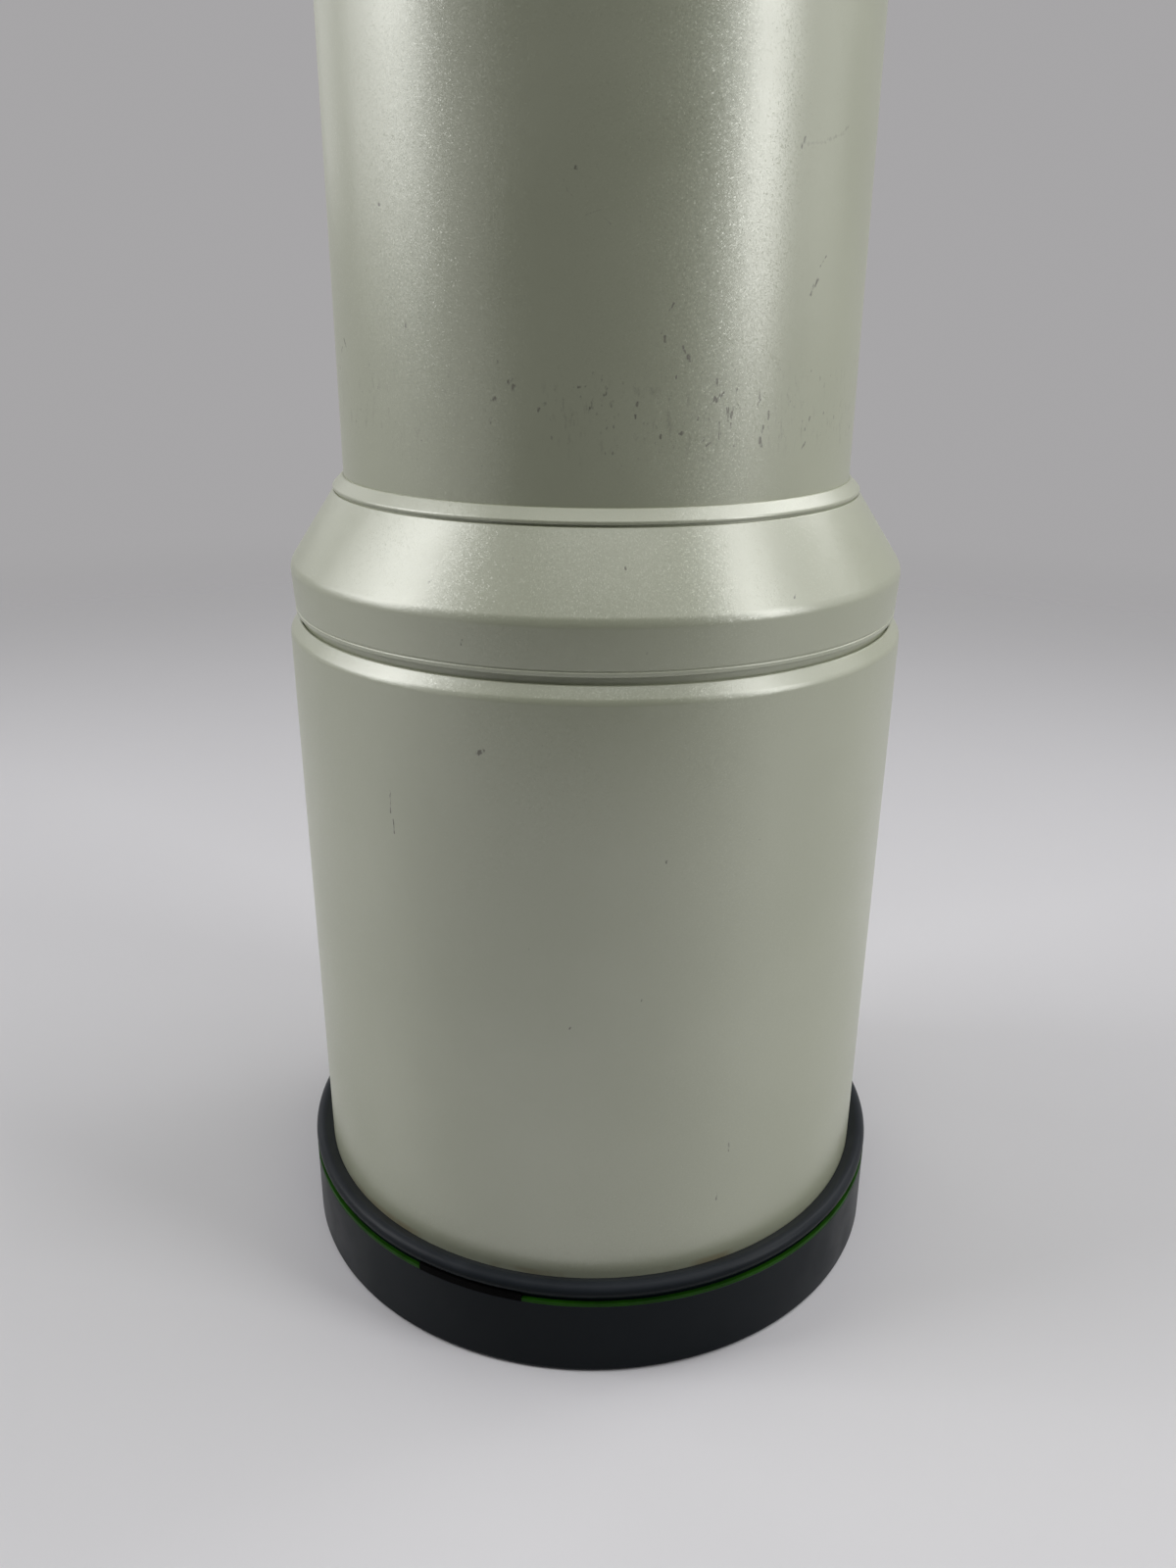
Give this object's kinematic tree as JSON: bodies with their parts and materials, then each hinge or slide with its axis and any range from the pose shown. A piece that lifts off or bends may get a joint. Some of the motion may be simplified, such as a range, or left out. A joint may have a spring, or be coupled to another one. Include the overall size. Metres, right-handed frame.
{
  "type": "telephoto lens",
  "caption": "Long white telephoto lens with a sliding hood and black hood ring, a flared front, ribbed focus ring, tripod collar with foot, iris and a bayonet mount.",
  "frame": {"origin": "centre of the hood ring's flat front face, on which the lens stands", "axes": "+Z along the optical axis from the front glass towards the camera mount, +Y towards the tripod foot, +X towards the switch panel"},
  "size_m": [0.1374, 0.155, 0.527],
  "materials": {
    "pearl_paint": "satin pearl white paint with a fine sparkle",
    "black_rubber_ring": "smooth black rubber",
    "stripe_green": "satin green enamel",
    "plate_black": "matt black",
    "flock": "black flocking",
    "felt": "black felt",
    "black_anodised": "matt black anodised",
    "coated_glass": "multi-coated optical glass",
    "grip_rubber": "ribbed black rubber",
    "cam_brass": "turned brass",
    "satin_steel": "satin steel",
    "black_screw": "blackened steel",
    "panel_plastic": "fine-grained black plastic",
    "button_rubber": "soft black rubber",
    "knob_black": "black anodised, fluted",
    "blade_steel": "blued spring steel",
    "bayonet_chrome": "satin chrome",
    "contact_gold": "gold plated",
    "seal_rubber": "soft black rubber"
  },
  "bodies": {
    "barrel": {"front_barrel": "black_anodised", "barrel_slide_felt": "felt", "front_bezel": "black_anodised", "first_element": "coated_glass", "front_glass_spacer": "black_anodised", "second_element": "coated_glass", "third_element": "coated_glass", "flare_casing": "pearl_paint", "tube_collar": "pearl_paint", "main_tube": "pearl_paint", "tube_baffles": "black_anodised", "focus_guide_tube": "cam_brass", "middle_barrel": "pearl_paint", "rear_barrel": "pearl_paint", "strap_lugs": "satin_steel", "switch_panel": "panel_plastic", "iris_housing": "black_anodised", "rear_cell": "black_anodised", "sixth_element": "coated_glass", "seventh_element": "coated_glass", "rear_cell_ring": "black_anodised", "mount_ring": "bayonet_chrome", "mount_contacts": "contact_gold", "mount_screws": "satin_steel", "mount_seal": "seal_rubber"},
    "hood": {"hood_tube": "pearl_paint", "hood_front_ring": "black_rubber_ring", "hood_stripe": "stripe_green", "hood_stripe_plate": "plate_black", "hood_lining": "flock", "hood_felt_ring": "felt"},
    "focus_ring": {"focus_ring": "black_anodised", "focus_grip": "grip_rubber", "focus_cam_tube": "satin_steel"},
    "focus_group": {"focus_cell": "black_anodised", "fourth_element": "coated_glass", "fifth_element": "coated_glass", "focus_cell_ring": "black_anodised", "cam_followers": "satin_steel"},
    "tripod_collar": {"tripod_collar": "pearl_paint", "collar_foot": "pearl_paint", "foot_screws": "black_screw"},
    "clamp_knob": {"clamp_knob": "knob_black"},
    "focus_mode_switch": {"focus_mode_switch": "panel_plastic"},
    "focus_limit_switch": {"focus_limit_switch": "panel_plastic"},
    "iris_ring": {"iris_ring": "black_anodised", "aperture_lever": "satin_steel"},
    "focus_button_1": {"focus_button_1": "button_rubber"},
    "focus_button_2": {"focus_button_2": "button_rubber"},
    "focus_button_3": {"focus_button_3": "button_rubber"},
    "focus_button_4": {"focus_button_4": "button_rubber"},
    "iris_blade_1": {"iris_blade_1": "blade_steel"},
    "iris_blade_2": {"iris_blade_2": "blade_steel"},
    "iris_blade_3": {"iris_blade_3": "blade_steel"},
    "iris_blade_4": {"iris_blade_4": "blade_steel"},
    "iris_blade_5": {"iris_blade_5": "blade_steel"},
    "iris_blade_6": {"iris_blade_6": "blade_steel"},
    "iris_blade_7": {"iris_blade_7": "blade_steel"},
    "iris_blade_8": {"iris_blade_8": "blade_steel"},
    "iris_blade_9": {"iris_blade_9": "blade_steel"}
  },
  "joints": [
    {"name": "hood_slide", "type": "slide", "parent": "barrel", "child": "hood", "axis": [0, 0, -1], "range_m": [0, 0.095]},
    {"name": "focus_ring_turn", "type": "hinge", "parent": "barrel", "child": "focus_ring", "pos_m": [0, 0, 0.299], "axis": [0, 0, 1], "range_deg": [0, 150]},
    {"name": "focus_group_slide", "type": "slide", "parent": "barrel", "child": "focus_group", "axis": [0, 0, 1], "range_m": [0, 0.018]},
    {"name": "tripod_collar_turn", "type": "hinge", "parent": "barrel", "child": "tripod_collar", "pos_m": [0, 0, 0.379], "axis": [0, 0, 1], "continuous": true},
    {"name": "clamp_knob_turn", "type": "hinge", "parent": "tripod_collar", "child": "clamp_knob", "pos_m": [-0.055, 0, 0.379], "axis": [-1, 0, 0], "range_deg": [0, 720]},
    {"name": "focus_mode_slide", "type": "slide", "parent": "barrel", "child": "focus_mode_switch", "axis": [0, 0, 1], "range_m": [0, 0.004]},
    {"name": "focus_limit_slide", "type": "slide", "parent": "barrel", "child": "focus_limit_switch", "axis": [0, 0, 1], "range_m": [0, 0.006]},
    {"name": "iris_ring_turn", "type": "hinge", "parent": "barrel", "child": "iris_ring", "pos_m": [0, 0, 0.4115], "axis": [0, 0, -1], "range_deg": [0, 6.9]},
    {"name": "focus_button_1_press", "type": "slide", "parent": "barrel", "child": "focus_button_1", "axis": [-0.7071, -0.7071, 0], "range_m": [0, 0.0008], "stiffness_N_per_m": 800},
    {"name": "focus_button_2_press", "type": "slide", "parent": "barrel", "child": "focus_button_2", "axis": [0.7071, -0.7071, 0], "range_m": [0, 0.0008], "stiffness_N_per_m": 800},
    {"name": "focus_button_3_press", "type": "slide", "parent": "barrel", "child": "focus_button_3", "axis": [0.7071, 0.7071, 0], "range_m": [0, 0.0008], "stiffness_N_per_m": 800},
    {"name": "focus_button_4_press", "type": "slide", "parent": "barrel", "child": "focus_button_4", "axis": [-0.7071, 0.7071, 0], "range_m": [0, 0.0008], "stiffness_N_per_m": 800},
    {"name": "iris_blade_1_turn", "type": "hinge", "parent": "barrel", "child": "iris_blade_1", "pos_m": [0.03, 0, 0.4065], "axis": [0, 0, -1], "range_deg": [0, 32]},
    {"name": "iris_blade_2_turn", "type": "hinge", "parent": "barrel", "child": "iris_blade_2", "pos_m": [0.02298, 0.01928, 0.4065], "axis": [0, 0, -1], "range_deg": [0, 32]},
    {"name": "iris_blade_3_turn", "type": "hinge", "parent": "barrel", "child": "iris_blade_3", "pos_m": [0.00521, 0.02954, 0.4065], "axis": [0, 0, -1], "range_deg": [0, 32]},
    {"name": "iris_blade_4_turn", "type": "hinge", "parent": "barrel", "child": "iris_blade_4", "pos_m": [-0.015, 0.02598, 0.4065], "axis": [0, 0, -1], "range_deg": [0, 32]},
    {"name": "iris_blade_5_turn", "type": "hinge", "parent": "barrel", "child": "iris_blade_5", "pos_m": [-0.02819, 0.01026, 0.4065], "axis": [0, 0, -1], "range_deg": [0, 32]},
    {"name": "iris_blade_6_turn", "type": "hinge", "parent": "barrel", "child": "iris_blade_6", "pos_m": [-0.02819, -0.01026, 0.4065], "axis": [0, 0, -1], "range_deg": [0, 32]},
    {"name": "iris_blade_7_turn", "type": "hinge", "parent": "barrel", "child": "iris_blade_7", "pos_m": [-0.015, -0.02598, 0.4065], "axis": [0, 0, -1], "range_deg": [0, 32]},
    {"name": "iris_blade_8_turn", "type": "hinge", "parent": "barrel", "child": "iris_blade_8", "pos_m": [0.00521, -0.02954, 0.4065], "axis": [0, 0, -1], "range_deg": [0, 32]},
    {"name": "iris_blade_9_turn", "type": "hinge", "parent": "barrel", "child": "iris_blade_9", "pos_m": [0.02298, -0.01928, 0.4065], "axis": [0, 0, -1], "range_deg": [0, 32]}
  ],
  "couplings": [
    {"joint": "focus_group_slide", "follows": "focus_ring_turn", "m_per_rad": 0.006875},
    {"joint": "iris_blade_1_turn", "follows": "iris_ring_turn", "ratio": 4.6376},
    {"joint": "iris_blade_2_turn", "follows": "iris_ring_turn", "ratio": 4.6376},
    {"joint": "iris_blade_3_turn", "follows": "iris_ring_turn", "ratio": 4.6376},
    {"joint": "iris_blade_4_turn", "follows": "iris_ring_turn", "ratio": 4.6376},
    {"joint": "iris_blade_5_turn", "follows": "iris_ring_turn", "ratio": 4.6376},
    {"joint": "iris_blade_6_turn", "follows": "iris_ring_turn", "ratio": 4.6376},
    {"joint": "iris_blade_7_turn", "follows": "iris_ring_turn", "ratio": 4.6376},
    {"joint": "iris_blade_8_turn", "follows": "iris_ring_turn", "ratio": 4.6376},
    {"joint": "iris_blade_9_turn", "follows": "iris_ring_turn", "ratio": 4.6376}
  ]
}
